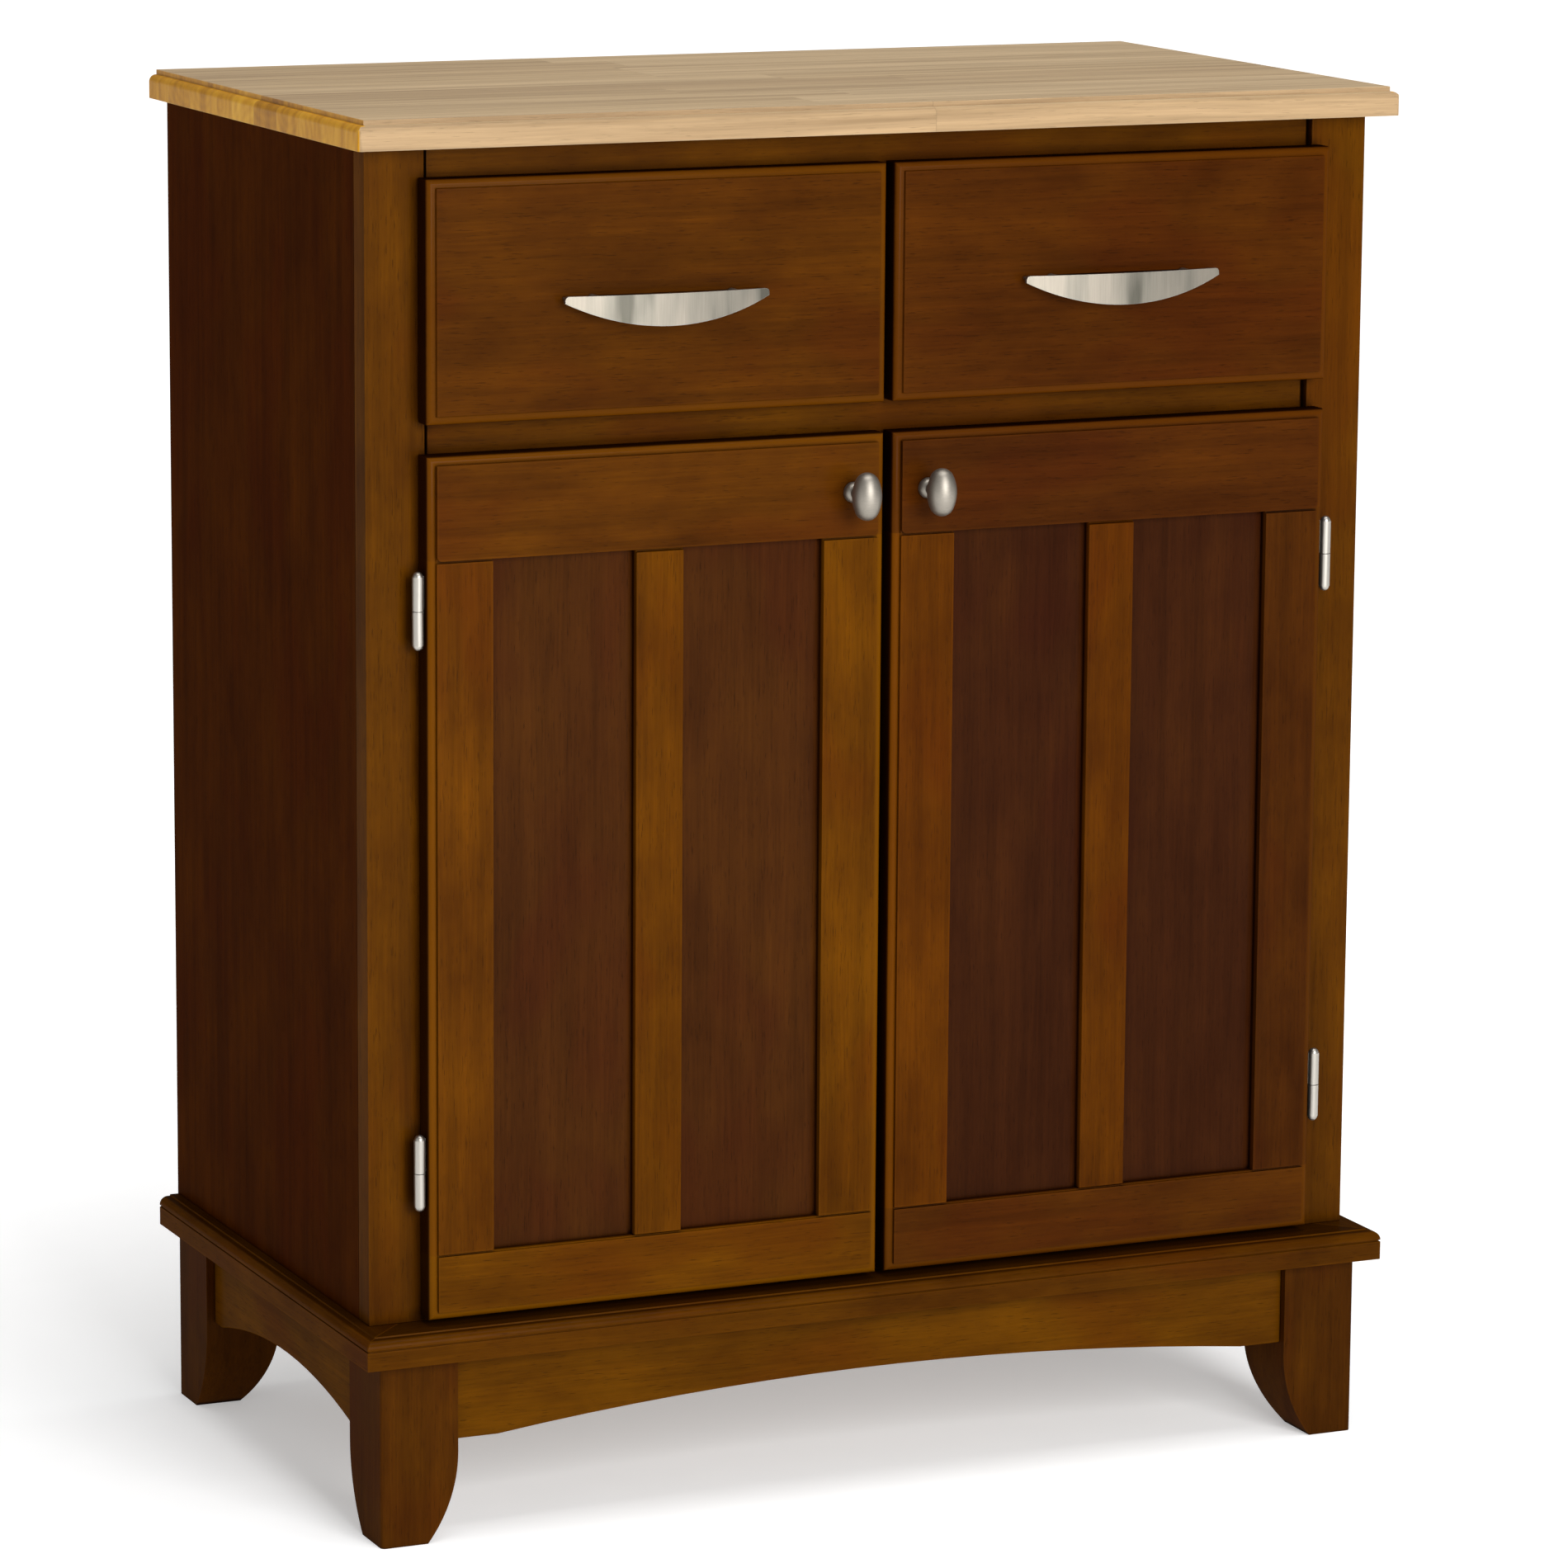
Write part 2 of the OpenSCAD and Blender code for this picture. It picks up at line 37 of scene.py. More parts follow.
# ------------------------------------------------------------------ node helpers
class G:
    """Small helper to write a node tree as expressions."""
    def __init__(self, name):
        self.m = bpy.data.materials.new(name)
        self.m.use_nodes = True
        self.t = self.m.node_tree
        self.t.nodes.clear()
        self.out = self.t.nodes.new("ShaderNodeOutputMaterial")
        self.b = self.t.nodes.new("ShaderNodeBsdfPrincipled")
        self.t.links.new(self.b.outputs[0], self.out.inputs[0])
        self.tc = None

    def new(self, kind, **props):
        n = self.t.nodes.new(kind)
        for k, v in props.items():
            setattr(n, k, v)
        return n

    def put(self, sock, v):
        if isinstance(v, bpy.types.NodeSocket):
            self.t.links.new(v, sock)
        elif v is not None:
            sock.default_value = v

    def coord(self, which="Object"):
        if self.tc is None:
            self.tc = self.new("ShaderNodeTexCoord")
        return self.tc.outputs[which]

    def math(self, op, a, b=None, c=None, clamp=False):
        n = self.new("ShaderNodeMath", operation=op, use_clamp=clamp)
        self.put(n.inputs[0], a)
        if b is not None:
            self.put(n.inputs[1], b)
        if c is not None:
            self.put(n.inputs[2], c)
        return n.outputs[0]

    def vmath(self, op, a, b=None, out=0):
        n = self.new("ShaderNodeVectorMath", operation=op)
        self.put(n.inputs[0], a)
        if b is not None:
            self.put(n.inputs[1], b)
        return n.outputs[out]

    def xyz(self, v):
        n = self.new("ShaderNodeSeparateXYZ")
        self.put(n.inputs[0], v)
        return n.outputs[0], n.outputs[1], n.outputs[2]

    def vec(self, x, y, z):
        n = self.new("ShaderNodeCombineXYZ")
        for s, v in zip(n.inputs, (x, y, z)):
            self.put(s, v)
        return n.outputs[0]

    def noise(self, v, scale=1.0, detail=3.0, rough=0.5, dist=0.0, out="Fac"):
        n = self.new("ShaderNodeTexNoise")
        n.noise_dimensions = "3D"
        self.put(n.inputs["Vector"], v)
        n.inputs["Scale"].default_value = scale
        n.inputs["Detail"].default_value = detail
        n.inputs["Roughness"].default_value = rough
        n.inputs["Distortion"].default_value = dist
        return n.outputs[out]

    def white(self, v, out="Value"):
        n = self.new("ShaderNodeTexWhiteNoise", noise_dimensions="3D")
        self.put(n.inputs["Vector"], v)
        return n.outputs[out]

    def ramp(self, f, *stops, interp="LINEAR"):
        n = self.new("ShaderNodeValToRGB")
        n.color_ramp.interpolation = interp
        el = n.color_ramp.elements
        while len(el) < len(stops):
            el.new(0.5)
        for e, (p, c) in zip(el, stops):
            e.position = p
            e.color = (*c, 1) if len(c) == 3 else c
        self.put(n.inputs[0], f)
        return n.outputs[0]

    def step(self, f, a, b, to0=0.0, to1=1.0, smooth=True):
        n = self.new("ShaderNodeMapRange", interpolation_type="SMOOTHSTEP" if smooth else "LINEAR")
        self.put(n.inputs[0], f)
        for i, v in zip((1, 2, 3, 4), (a, b, to0, to1)):
            n.inputs[i].default_value = v
        return n.outputs[0]

    def mix(self, f, a, b, kind="MIX"):
        n = self.new("ShaderNodeMix", data_type="RGBA", blend_type=kind)
        self.put(n.inputs[0], f)
        self.put(n.inputs[6], (*a, 1) if isinstance(a, tuple) and len(a) == 3 else a)
        self.put(n.inputs[7], (*b, 1) if isinstance(b, tuple) and len(b) == 3 else b)
        return n.outputs[2]

    def bump(self, h, dist, strength=1.0):
        n = self.new("ShaderNodeBump")
        self.put(n.inputs["Height"], h)
        n.inputs["Distance"].default_value = dist
        n.inputs["Strength"].default_value = strength
        return n.outputs[0]

    def occlusion_shade(self, dist, lo=0.62, hi=0.22):
        """1 deep in a groove or a corner, 0 on open faces: an ambient-occlusion mask, used to paint shade."""
        n = self.new("ShaderNodeAmbientOcclusion", samples=4, only_local=False)
        n.inputs["Distance"].default_value = dist
        return self.step(n.outputs["AO"], lo, hi)

    def edges(self, radius):
        """1 on outer edges and in corners, 0 on flats."""
        n = self.new("ShaderNodeBevel", samples=3)
        n.inputs["Radius"].default_value = radius
        g = self.new("ShaderNodeNewGeometry")
        d = self.vmath("DOT_PRODUCT", n.outputs[0], g.outputs["Normal"], out=1)
        return self.step(d, 0.98, 0.80)


def lin(c):
    return tuple((v / 255 / 12.92) if v <= 10 else (((v / 255) + 0.055) / 1.055) ** 2.4 for v in c)


def grain_coord(g, axis, seed):
    """Coordinates with the grain along x, moved to a place of its own for each board."""
    x, y, z = g.xyz(g.coord())
    a, b, c = {"X": (x, y, z), "Y": (y, x, z), "Z": (z, x, y)}[axis]
    o = [(seed * k) % 7.0 for k in (1.37, 2.11, 3.73)]
    return g.vec(g.math("ADD", a, o[0]), g.math("ADD", b, o[1]), g.math("ADD", c, o[2]))


def stained(name, axis, seed, mid, blotch=1.0, fine=1.0, coat=0.035, front=False, shade=0.0, deck=False, groove=1.0):
    """Brown-stained hardwood under a satin lacquer: blotches, fibre streaks, pores, lighter edges that are partly
    rubbed wear and partly a painted highlight, and painted shade in grooves, corners and round parts that stand off.
    """
    g = G(name)
    p = grain_coord(g, axis, seed)
    stretch = lambda sx, sy: g.vmath("MULTIPLY", p, (sx, sy, sy))
    warp = g.vmath("SUBTRACT", g.noise(stretch(6, 18), 1, 2, 0.5, out="Color"), (0.5, 0.5, 0.5))
    q = g.vmath("ADD", p, g.vmath("MULTIPLY", warp, (0.02, 0.006, 0.006)))
    wide = g.noise(g.vmath("MULTIPLY", q, (9, 20, 20)), 1, 4, 0.6)
    patch = g.noise(g.vmath("MULTIPLY", q, (22, 38, 38)), 1, 3, 0.6)
    ring = g.noise(g.vmath("MULTIPLY", q, (3.2, 95, 95)), 1, 3, 0.55)
    fibre = g.noise(g.vmath("MULTIPLY", q, (16, 620, 620)), 1, 3, 0.6)
    pore = g.noise(g.vmath("MULTIPLY", p, (95, 1500, 1500)), 1, 2, 0.5)
    dark = tuple(v * k for v, k in zip(mid, (0.66, 0.60, 0.55)))
    light = tuple(v * k for v, k in zip(mid, (1.32, 1.38, 1.10)))
    red = tuple(v * k for v, k in zip(mid, (0.92, 0.70, 0.95)))
    col = g.ramp(g.math("ADD", g.math("MULTIPLY", wide, 0.72), g.math("MULTIPLY", patch, 0.28)),
                 (0.5 - 0.19 / max(blotch, 0.05) * 1.0, dark), (0.5, tuple(mid)), (0.5 + 0.17 / max(blotch, 0.05), light))
    col = g.mix(g.step(g.noise(g.vmath("MULTIPLY", q, (7, 13, 13)), 1, 2, 0.5), 0.50, 0.66, 0, 0.55), col, red)
    col = g.mix(0.36 * fine, col, g.ramp(ring, (0.34, (0.30, 0.30, 0.30)), (0.5, (0.5, 0.5, 0.5)), (0.68, (0.64, 0.63, 0.60))), "OVERLAY")
    col = g.mix(0.40 * fine, col, g.ramp(fibre, (0.30, (0.34, 0.33, 0.33)), (0.70, (0.63, 0.63, 0.62))), "OVERLAY")
    dash = g.step(pore, 0.62, 0.72)
    col = g.mix(g.math("MULTIPLY", dash, 0.55 * fine), col, tuple(v * 0.30 for v in mid))
    # Lighter edges, partly rubbed wear and partly a painted highlight.
    wear_and_highlight = g.math("MULTIPLY", g.edges(0.0024), g.step(g.noise(stretch(40, 60), 1, 3, 0.6), 0.30, 0.62, 0.35, 1.0))
    col = g.mix(g.math("MULTIPLY", wear_and_highlight, 0.60), col, tuple(min(1, v * k) for v, k in zip(mid, (1.55, 1.60, 1.4))))
    # Painted shade in grooves, joints and corners, from ambient occlusion.
    painted_shade = g.math("MULTIPLY", g.occlusion_shade(0.0035, 0.80, 0.38), groove)
    if shade:
        # Painted contact shadow on the frame, close round whatever stands off it.
        painted_shade = g.math("MAXIMUM", painted_shade, g.math("MULTIPLY", g.occlusion_shade(shade, 0.78, 0.48), 0.85))
    if deck:
        # Painted shade on the upper side of a moulding, which is darkened.
        nz = g.xyz(g.coord("Normal"))[2]
        painted_shade = g.math("MAXIMUM", painted_shade, g.math("MULTIPLY", g.step(nz, 0.90, 0.985), 0.62))
    if front:
        # Painted shade on the side and top faces behind the moulded rim of a front.
        y = g.xyz(g.coord())[1]
        ny = g.math("ABSOLUTE", g.xyz(g.coord("Normal"))[1])
        edge = g.math("MULTIPLY", g.step(y, -0.1780, -0.1760), g.step(ny, 0.75, 0.45))
        # Painted highlight: the rounded rim of the front is lightened.
        rim = g.math("MULTIPLY", g.step(y, -0.1806, -0.1800), g.step(y, -0.1762, -0.1775))
        rim = g.math("MULTIPLY", rim, g.step(ny, 0.35, 0.60))
        col = g.mix(g.math("MULTIPLY", rim, 0.70), col, tuple(v * k for v, k in zip(mid, (1.70, 1.85, 0.9))))
        painted_shade = g.math("MAXIMUM", painted_shade, g.math("MULTIPLY", edge, 0.95))
    # The painted shade masks darken the colour here: grooves, corners, contact shadow, moulding tops and front
    # edges.
    col = g.mix(g.math("MULTIPLY", painted_shade, 0.90), col, tuple(v * k for v, k in zip(mid, (0.10, 0.07, 0.3))))
    g.put(g.b.inputs["Base Color"], col)
    r = g.math("ADD", g.math("MULTIPLY", wide, 0.16), g.math("MULTIPLY", fibre, 0.10))
    g.put(g.b.inputs["Roughness"], g.math("ADD", r, 0.26))
    g.b.inputs["Specular IOR Level"].default_value = 0.0
    g.b.inputs["Coat Weight"].default_value = coat
    g.b.inputs["Coat Roughness"].default_value = 0.24
    h = g.math("ADD", g.math("MULTIPLY", fibre, 0.6), g.math("MULTIPLY", ring, 0.5))
    h = g.math("SUBTRACT", h, g.math("MULTIPLY", dash, 0.9))
    g.put(g.b.inputs["Normal"], g.bump(h, 0.00010, 0.9))
    return g.m


def block_top(name):
    """Pale hardwood strips glued side by side, long grain on top and front, end grain at the ends."""
    g = G(name)
    x, y, z = g.xyz(g.coord())
    w = 0.0421
    row = g.math("FLOOR", g.math("DIVIDE", g.math("ADD", y, 0.5), w))
    off = g.white(g.vec(row, 3.0, 1.0))
    run = g.math("DIVIDE", g.math("ADD", x, g.math("MULTIPLY", off, 0.9)), 0.52)
    cell = g.math("FLOOR", run)
    tone = g.white(g.vec(row, cell, 7.0))
    hue = g.white(g.vec(row, cell, 19.0))
    sx = g.math("ADD", x, g.math("MULTIPLY", tone, 5.0))
    sy = g.math("ADD", y, g.math("MULTIPLY", hue, 3.0))
    p = g.vec(sx, sy, z)
    warp = g.vmath("SUBTRACT", g.noise(g.vmath("MULTIPLY", p, (5, 22, 22)), 1, 2, 0.5, out="Color"), (0.5, 0.5, 0.5))
    q = g.vmath("ADD", p, g.vmath("MULTIPLY", warp, (0.02, 0.008, 0.008)))
    ring = g.noise(g.vmath("MULTIPLY", q, (2.6, 120, 120)), 1, 4, 0.55)
    fibre = g.noise(g.vmath("MULTIPLY", q, (14, 700, 700)), 1, 3, 0.6)
    pore = g.noise(g.vmath("MULTIPLY", p, (70, 1500, 1500)), 1, 2, 0.5)
    wide = g.noise(g.vmath("MULTIPLY", q, (4, 26, 26)), 1, 2, 0.5)
    base = g.ramp(tone, (0.0, TOP_A), (0.5, TOP_B), (1.0, TOP_C))
    base = g.mix(g.math("MULTIPLY", wide, 0.35), base, tuple(v * 0.78 for v in TOP_B))
    long = g.mix(0.70, base, g.ramp(ring, (0.30, (0.32, 0.30, 0.28)), (0.50, (0.5, 0.5, 0.5)), (0.66, (0.60, 0.60, 0.60))), "OVERLAY")
    long = g.mix(0.45, long, g.ramp(fibre, (0.3, (0.38, 0.37, 0.36)), (0.7, (0.60, 0.60, 0.60))), "OVERLAY")
    dash = g.step(pore, 0.62, 0.72)
    long = g.mix(g.math("MULTIPLY", dash, 0.40), long, tuple(v * 0.42 for v in TOP_B))
    # end grain: growth rings about a pith that lies above or below each strip
    cy = g.math("SUBTRACT", g.math("FRACT", g.math("DIVIDE", g.math("ADD", y, 0.5), w)), 0.5)
    py = g.math("MULTIPLY", g.math("ADD", cy, g.math("MULTIPLY", g.math("SUBTRACT", hue, 0.5), 1.6)), w)
    pz = g.math("ADD", g.math("SUBTRACT", z, 0.91), g.math("MULTIPLY", g.math("SUBTRACT", tone, 0.5), 0.11))
    rad = g.math("SQRT", g.math("ADD", g.math("POWER", py, 2), g.math("POWER", pz, 2)))
    rad = g.math("ADD", rad, g.math("MULTIPLY", g.noise(g.coord(), 90, 2, 0.5), 0.0016))
    rings = g.math("SINE", g.math("MULTIPLY", rad, 2 * math.pi / 0.0075))
    streak = g.noise(g.vec(g.math("MULTIPLY", y, 95), x, g.math("MULTIPLY", z, 22)), 1, 4, 0.6)
    speck = g.noise(g.coord(), 1500, 2, 0.6)
    mix3 = g.math("ADD", g.math("MULTIPLY", tone, 0.30), g.math("ADD", g.math("MULTIPLY", streak, 0.75), g.math("MULTIPLY", speck, 0.12)))
    end = g.ramp(g.math("ADD", mix3, g.math("MULTIPLY", rings, 0.035)), (0.32, END_A), (0.58, END_B), (0.86, END_C))
    n = g.xyz(g.coord("Normal"))
    ax = g.math("ABSOLUTE", x)
    ledge = g.math("MULTIPLY", g.step(ax, 0.3612, 0.3622), g.step(g.math("ABSOLUTE", n[1]), 0.55, 0.30))
    is_end = g.math("MAXIMUM", g.step(g.math("ABSOLUTE", n[0]), 0.55, 0.80), ledge)
    col = g.mix(is_end, long, end)
    # glue lines, dark and a hair wide
    fy = g.math("ABSOLUTE", g.math("SUBTRACT", g.math("FRACT", g.math("DIVIDE", g.math("ADD", y, 0.5), w)), 0.5))
    line_y = g.step(fy, 0.490, 0.499)
    fx = g.math("ABSOLUTE", g.math("SUBTRACT", g.math("FRACT", run), 0.5))
    line_x = g.math("MULTIPLY", g.step(fx, 0.4992, 0.4999), g.math("SUBTRACT", 1.0, is_end))
    line = g.math("MAXIMUM", line_y, line_x)
    col = g.mix(g.math("MULTIPLY", line, 0.35), col, tuple(v * 0.45 for v in TOP_B))
    # Lighter outer edges, partly rubbed wear and partly a painted highlight.
    wear_and_highlight = g.math("MULTIPLY", g.edges(0.0012), 0.25)
    col = g.mix(wear_and_highlight, col, tuple(min(1, v * 1.25) for v in TOP_C))
    # the moulded edge has kept more of the oil than the worked top
    # Faces that do not face up, apart from the end grain, are darker and less yellow than the top.
    edge = g.math("SUBTRACT", 1.0, g.step(n[2], 0.80, 0.98))
    col = g.mix(g.math("MULTIPLY", edge, g.math("SUBTRACT", 1.0, is_end)), col, g.mix(1.0, col, (0.76, 0.71, 0.66), "MULTIPLY"))
    g.put(g.b.inputs["Base Color"], col)
    g.put(g.b.inputs["Roughness"], g.math("ADD", g.math("MULTIPLY", fibre, 0.14), 0.40))
    g.b.inputs["Specular IOR Level"].default_value = 0.12
    h = g.math("SUBTRACT", g.math("ADD", g.math("MULTIPLY", fibre, 0.5), g.math("MULTIPLY", ring, 0.4)),
               g.math("ADD", g.math("MULTIPLY", dash, 0.6), g.math("MULTIPLY", line, 1.2)))
    g.put(g.b.inputs["Normal"], g.bump(h, 0.00010, 0.8))
    return g.m


def pale_board(name, axis, seed, mid, ply=False, fine=1.0):
    """Unstained or lightly stained inner boards: soft grain and knots of tone."""
    g = G(name)
    p = grain_coord(g, axis, seed)
    warp = g.vmath("SUBTRACT", g.noise(g.vmath("MULTIPLY", p, (4, 14, 14)), 1, 2, 0.5, out="Color"), (0.5, 0.5, 0.5))
    q = g.vmath("ADD", p, g.vmath("MULTIPLY", warp, (0.05, 0.02, 0.02)))
    ring = g.noise(g.vmath("MULTIPLY", q, (2.2, 60, 60)), 1, 4, 0.6)
    fibre = g.noise(g.vmath("MULTIPLY", q, (14, 560, 560)), 1, 3, 0.6)
    wide = g.noise(g.vmath("MULTIPLY", q, (3, 9, 9)), 1, 3, 0.5)
    dark = tuple(v * k for v, k in zip(mid, (0.74, 0.68, 0.60)))
    light = tuple(min(1, v * k) for v, k in zip(mid, (1.16, 1.18, 1.20)))
    col = g.ramp(ring, (0.32, dark), (0.52, tuple(mid)), (0.70, light))
    col = g.mix(0.45, col, g.ramp(fibre, (0.3, (0.38, 0.38, 0.38)), (0.7, (0.6, 0.6, 0.6))), "OVERLAY")
    col = g.mix(0.35, col, g.ramp(wide, (0.35, (0.40, 0.40, 0.40)), (0.65, (0.58, 0.58, 0.58))), "OVERLAY")
    g.put(g.b.inputs["Base Color"], col)
    g.put(g.b.inputs["Roughness"], g.math("ADD", g.math("MULTIPLY", fibre, 0.2), 0.48))
    g.b.inputs["Specular IOR Level"].default_value = 0.25
    g.put(g.b.inputs["Normal"], g.bump(g.math("ADD", fibre, g.math("MULTIPLY", ring, 0.6)), 0.00012, 0.8))
    return g.m


def brushed(name, axis, tint, rough, seed=0.0, reflection_bands=0.0):
    """Brushed and lacquered nickel: fine scratches along one axis, soft smudges, bright rubbed edges, and optional
    vertical stripes that are painted reflections.
    """
    g = G(name)
    x, y, z = g.xyz(g.coord())
    a, b, c = {"X": (x, y, z), "Y": (y, x, z), "Z": (z, x, y)}[axis]
    p = g.vec(g.math("ADD", a, seed), b, c)
    hair = g.noise(g.vmath("MULTIPLY", p, (60, 5200, 5200)), 1, 3, 0.65)
    coarse = g.noise(g.vmath("MULTIPLY", p, (22, 1500, 1500)), 1, 3, 0.6)
    smudge = g.noise(p, 60, 3, 0.55)
    k = g.math("ADD", g.math("MULTIPLY", hair, 0.55), g.math("MULTIPLY", coarse, 0.45))
    col = g.ramp(k, (0.30, tuple(v * 0.80 for v in tint)), (0.55, tuple(tint)), (0.75, tuple(min(1, v * 1.12) for v in tint)))
    # Painted reflections: vertical stripes of light and dark, as if the pull mirrored its surroundings.
    if reflection_bands:
        bx = g.noise(g.vec(g.math("ADD", x, seed), 0.0, g.math("MULTIPLY", z, 0.15)), 62, 2, 0.45)
        col = g.mix(reflection_bands, col, g.ramp(bx, (0.34, (0.20, 0.21, 0.20)), (0.46, (0.44, 0.45, 0.44)), (0.62, (0.60, 0.59, 0.57))), "OVERLAY")
    col = g.mix(g.math("MULTIPLY", g.edges(0.0004), 0.40), col, (0.60, 0.58, 0.55))
    g.put(g.b.inputs["Base Color"], col)
    g.b.inputs["Metallic"].default_value = 1.0
    r = g.math("ADD", g.math("MULTIPLY", k, 0.16), g.math("MULTIPLY", smudge, 0.10))
    g.put(g.b.inputs["Roughness"], g.math("ADD", r, rough))
    g.put(g.b.inputs["Normal"], g.bump(k, 0.00002, 0.6))
    return g.m


def zinc(name):
    g = G(name)
    cell = g.noise(g.coord(), 900, 3, 0.6)
    big = g.noise(g.coord(), 160, 2, 0.5)
    g.put(g.b.inputs["Base Color"], g.ramp(cell, (0.3, (0.42, 0.42, 0.42)), (0.7, (0.66, 0.66, 0.64))))
    g.b.inputs["Metallic"].default_value = 1.0
    g.put(g.b.inputs["Roughness"], g.math("ADD", g.math("MULTIPLY", big, 0.3), 0.25))
    g.put(g.b.inputs["Normal"], g.bump(cell, 0.00003, 0.6))
    return g.m


def moulded(name, mid):
    g = G(name)
    fine = g.noise(g.coord(), 2600, 3, 0.6)
    big = g.noise(g.coord(), 70, 2, 0.5)
    g.put(g.b.inputs["Base Color"], g.mix(g.math("MULTIPLY", big, 0.3), tuple(mid), tuple(v * 0.7 for v in mid)))
    g.put(g.b.inputs["Roughness"], g.math("ADD", g.math("MULTIPLY", fine, 0.2), 0.42))
    g.put(g.b.inputs["Normal"], g.bump(fine, 0.00004, 0.7))
    return g.m


# ------------------------------------------------------------------ colours (linear)
STILE = (0.076, 0.0235, 0.0009)
RAIL = (0.068, 0.0210, 0.0005)
BASE = (0.075, 0.0248, 0.0005)
LEG = (0.048, 0.0140, 0.0007)
FRONT = (0.060, 0.0185, 0.0012)
PANEL = (0.043, 0.0125, 0.0028)
SIDE = (0.0385, 0.0086, 0.0003)
TOP_A = (0.34, 0.235, 0.130)
TOP_B = (0.40, 0.285, 0.160)
TOP_C = (0.46, 0.335, 0.195)
END_A = (0.26, 0.104, 0.003)
END_B = (0.43, 0.195, 0.007)
END_C = (0.60, 0.320, 0.022)

# Per-piece colours of the fronts: each board's own tone, with the right-hand pieces painted darker as painted shade
# for light falling off from left to right.
TINT_WITH_SHADE = {
    ("left", "drawer"): (0.052, 0.0146, 0.0007), ("right", "drawer"): (0.044, 0.0112, 0.0007),
    ("left", "top"): (0.059, 0.0170, 0.0008), ("right", "top"): (0.041, 0.0102, 0.0008),
    ("left", "bottom"): (0.076, 0.0240, 0.0004), ("right", "bottom"): (0.049, 0.0132, 0.0007),
    ("left", "hinge_stile"): (0.069, 0.0202, 0.0006), ("right", "hinge_stile"): (0.0375, 0.0098, 0.0007),
    ("left", "meeting_stile"): (0.072, 0.0222, 0.0003), ("right", "meeting_stile"): (0.064, 0.0168, 0.0003),
    ("left", "muntin"): (0.068, 0.0202, 0.0004), ("right", "muntin"): (0.057, 0.0150, 0.0003),
    ("left", "panels"): (0.039, 0.0114, 0.0018), ("right", "panels"): (0.0265, 0.0069, 0.0016),
}

KIND = {}
def kind(names, fn):
    for n in names.split():
        KIND[n] = fn

seedof = {n: 1.0 + i * 0.731 for i, n in enumerate(sorted(N))}
def st(axis, mid, **k):
    return lambda n: stained("stain_" + n, axis, seedof[n], mid, **k)

kind("top_slab", lambda n: block_top("block_top"))
kind("side_panel_left side_panel_right", st("Z", SIDE, blotch=0.8, coat=0.01))
kind("stile_left stile_right", st("Z", tuple(v * 0.93 for v in RAIL), shade=0.012))
kind("rail_top rail_middle rail_bottom", st("X", RAIL, shade=0.012))
kind("divider_stile", st("Z", RAIL))
# The front moulding is painted darker than the side mouldings, as painted shade.
kind("moulding_front", st("X", tuple(v * 0.84 for v in RAIL), deck=True, groove=0.45))
kind("moulding_back", st("X", RAIL))
kind("mouldings_side", st("Y", RAIL, deck=True, groove=0.25))
kind("leg_front_left leg_back_left leg_back_right", st("Z", LEG))
# The front right leg is painted darker than the other legs, as painted shade for the light falling off to the right.
kind("leg_front_right", st("Z", tuple(v * 0.88 for v in LEG)))
kind("apron_front apron_back", st("X", BASE))
kind("aprons_side", st("Y", BASE))
for s in ("left", "right"):
    kind(f"drawer_{s}_front", st("X", TINT_WITH_SHADE[s, "drawer"], front=True))
    kind(f"door_{s}_top_rail", st("X", TINT_WITH_SHADE[s, "top"], front=True))
    kind(f"door_{s}_bottom_rail", st("X", TINT_WITH_SHADE[s, "bottom"], front=True))
    for part in ("hinge_stile", "meeting_stile", "muntin"):
        kind(f"door_{s}_{part}", st("Z", TINT_WITH_SHADE[s, part], front=True))
    kind(f"door_{s}_panels", st("Z", TINT_WITH_SHADE[s, "panels"], blotch=0.7))
    kind(f"drawer_{s}_box", lambda n: pale_board("pale_" + n, "Y", seedof[n], (0.52, 0.36, 0.19)))
    kind(f"drawer_{s}_bottom", lambda n: pale_board("pale_" + n, "X", seedof[n], (0.50, 0.35, 0.19)))
    kind(f"drawer_{s}_pull", lambda n: brushed("nickel_" + n, "Z", (0.215, 0.195, 0.165), 0.30, seedof[n], 0.9))
    kind(f"door_{s}_knob", lambda n: brushed("nickel_" + n, "X", (0.285, 0.260, 0.222), 0.36, seedof[n]))
    kind(f"door_{s}_hinge_leaves", lambda n: brushed("nickel_" + n, "Z", (0.40, 0.375, 0.335), 0.26, seedof[n]))
    kind(f"door_{s}_fixings drawer_{s}_pull_screws", lambda n: zinc("zinc_" + n))
kind("hinge_frame_leaves", lambda n: brushed("nickel_" + n, "Z", (0.40, 0.375, 0.335), 0.26, seedof[n]))
kind("top_screws shelf_pins", lambda n: zinc("zinc_" + n))
kind("catches", lambda n: moulded("moulded_" + n, (0.10, 0.045, 0.02)))
kind("back_panel", lambda n: pale_board("pale_" + n, "Z", seedof[n], (0.16, 0.085, 0.035)))
kind("bottom_panel dust_panel shelf", lambda n: pale_board("pale_" + n, "X", seedof[n], (0.17, 0.09, 0.035)))
kind("divider_panel", lambda n: pale_board("pale_" + n, "Y", seedof[n], (0.17, 0.09, 0.035)))
kind("top_cleats", lambda n: pale_board("pale_" + n, "X", seedof[n], (0.40, 0.27, 0.14)))
kind("corner_blocks drawer_runners", lambda n: pale_board("pale_" + n, "Y", seedof[n], (0.45, 0.31, 0.16)))

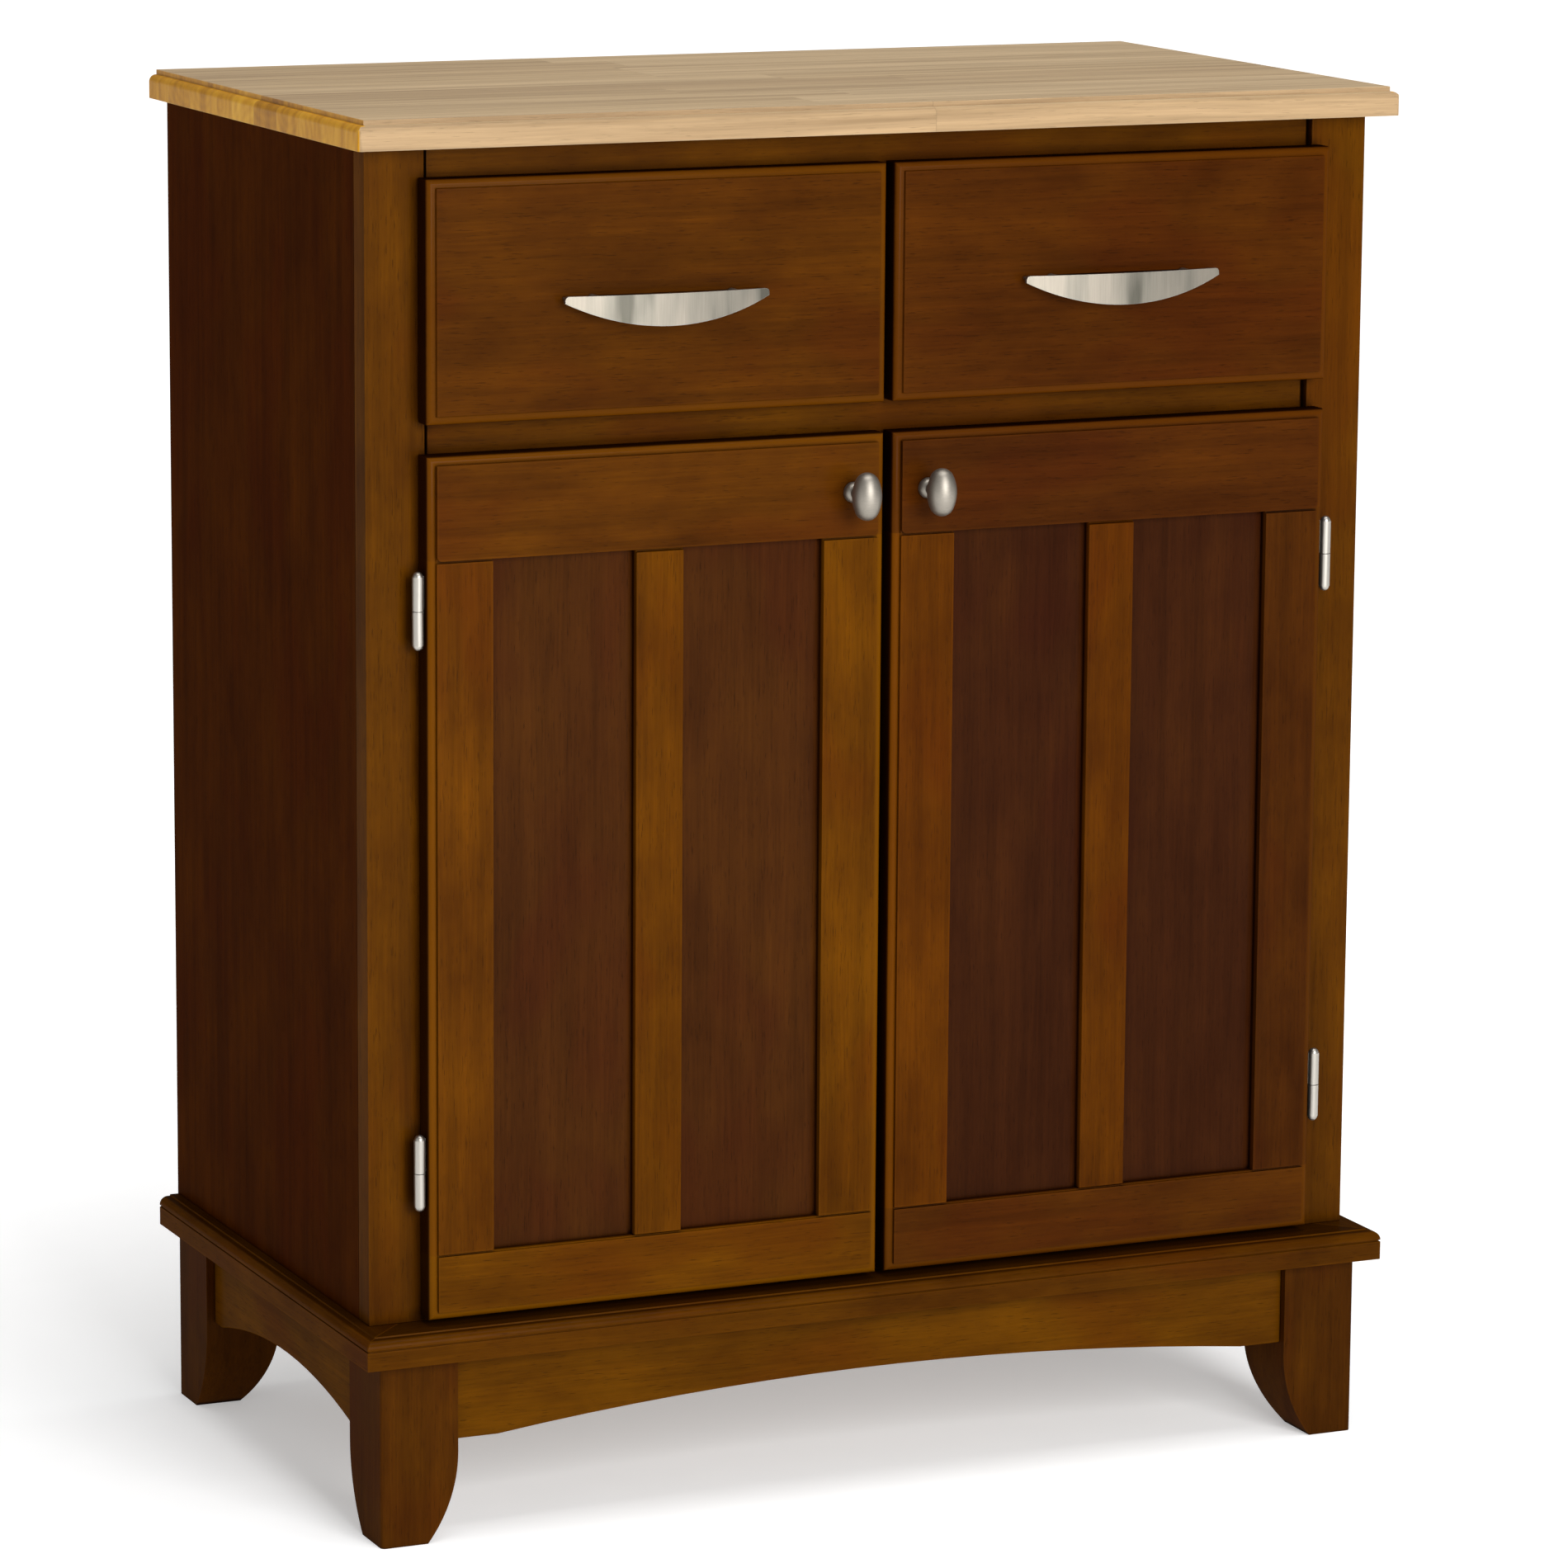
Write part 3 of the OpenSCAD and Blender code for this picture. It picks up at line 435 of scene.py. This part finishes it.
METAL = ("_pull", "_knob", "_hinge_leaves", "hinge_frame_leaves", "_fixings", "_screws", "shelf_pins")
EASE = {"top_slab": 0.0010, "leg_front_left": 0.0012, "leg_front_right": 0.0012, "leg_back_left": 0.0012, "leg_back_right": 0.0012}
for name, o in N.items():
    if name not in KIND:
        raise RuntimeError("no material for " + name)
    m = KIND[name](name)
    o.data.materials.clear()
    o.data.materials.append(m)
    for p in o.data.polygons:
        p.material_index = 0
    o.data.polygons.foreach_set("use_smooth", [True] * len(o.data.polygons))
    metal = name.endswith(METAL)
    w = o.modifiers.new("weld", "WELD")
    w.merge_threshold = 0.00002
    b = o.modifiers.new("ease", "BEVEL")
    b.width = 0.00018 if metal else EASE.get(name, 0.0007)
    b.segments = 2
    b.limit_method = "ANGLE"
    b.angle_limit = math.radians(32)
    b.use_clamp_overlap = True
    wn = o.modifiers.new("shade", "WEIGHTED_NORMAL")
    wn.weight = 50
    wn.keep_sharp = False

# ------------------------------------------------------------------ floor, light, camera
def plane(name, sx, sy, z):
    me = bpy.data.meshes.new(name)
    me.from_pydata([(-sx, -sy, z), (sx, -sy, z), (sx, sy, z), (-sx, sy, z)], [], [(0, 1, 2, 3)])
    o = bpy.data.objects.new(name, me)
    scene.collection.objects.link(o)
    return o

floor = plane("studio_floor", 40, 40, 0.0)
g = G("floor_white")
f = g.noise(g.coord(), 30, 2, 0.5)
g.put(g.b.inputs["Base Color"], g.ramp(f, (0.3, (0.86, 0.86, 0.86)), (0.7, (0.88, 0.88, 0.88))))
g.b.inputs["Roughness"].default_value = 0.7
g.b.inputs["Specular IOR Level"].default_value = 0.1
# The floor glows by emission, weaker near the cabinet and stronger farther off, so the backdrop reads white; this
# glow also lights the cabinet from below.
far = g.step(g.vmath("LENGTH", g.vmath("MULTIPLY", g.coord(), (1, 1, 0)), out=1), 0.3, 1.9, 0.34, 0.90)
g.b.inputs["Emission Color"].default_value = (1, 1, 1, 1)
g.put(g.b.inputs["Emission Strength"], far)
floor.data.materials.append(g.m)

world = bpy.data.worlds.new("studio") if scene.world is None else scene.world
scene.world = world
world.use_nodes = True
wt = world.node_tree
wt.nodes.clear()
wo = wt.nodes.new("ShaderNodeOutputWorld")
wb = wt.nodes.new("ShaderNodeBackground")
wb.inputs[0].default_value = (1.0, 1.0, 1.0, 1)
wb.inputs[1].default_value = 0.30
wt.links.new(wb.outputs[0], wo.inputs[0])

def area(name, pos, target, sx, sy, power, color=(1, 1, 1)):
    l = bpy.data.lights.new(name, "AREA")
    l.shape = "RECTANGLE"
    l.size, l.size_y = sx, sy
    l.energy = power
    l.color = color
    o = bpy.data.objects.new(name, l)
    scene.collection.objects.link(o)
    d = Vector(target) - Vector(pos)
    o.location = pos
    o.rotation_euler = d.to_track_quat("-Z", "Y").to_euler()
    return o

area("key", (0.25, -4.2, 1.75), (0, 0, 0.50), 2.2, 2.0, 175)
area("side", (-3.2, -1.6, 1.2), (0, 0, 0.45), 1.2, 1.6, 5)
area("top", (0.10, -0.55, 3.2), (0, 0, 0.6), 2.2, 2.0, 58)

cam = bpy.data.cameras.new("camera")
cam.sensor_width = 36.0
cam.lens = 155.284
cam.clip_end = 100
co = bpy.data.objects.new("camera", cam)
scene.collection.objects.link(co)
az, el, ro = math.radians(-24.13), math.radians(10.844), math.radians(0.406)
back = Vector((math.sin(az) * math.cos(el), -math.cos(az) * math.cos(el), math.sin(el)))
right = (-back).cross(Vector((0, 0, 1))).normalized()
up = right.cross(-back)
r2 = math.cos(ro) * right + math.sin(ro) * up
u2 = -math.sin(ro) * right + math.cos(ro) * up
M = Matrix((
    (r2.x, u2.x, back.x, -1.83212), (r2.y, u2.y, back.y, -4.10694),
    (r2.z, u2.z, back.z, 1.30554), (0, 0, 0, 1)))
co.matrix_world = M
scene.camera = co
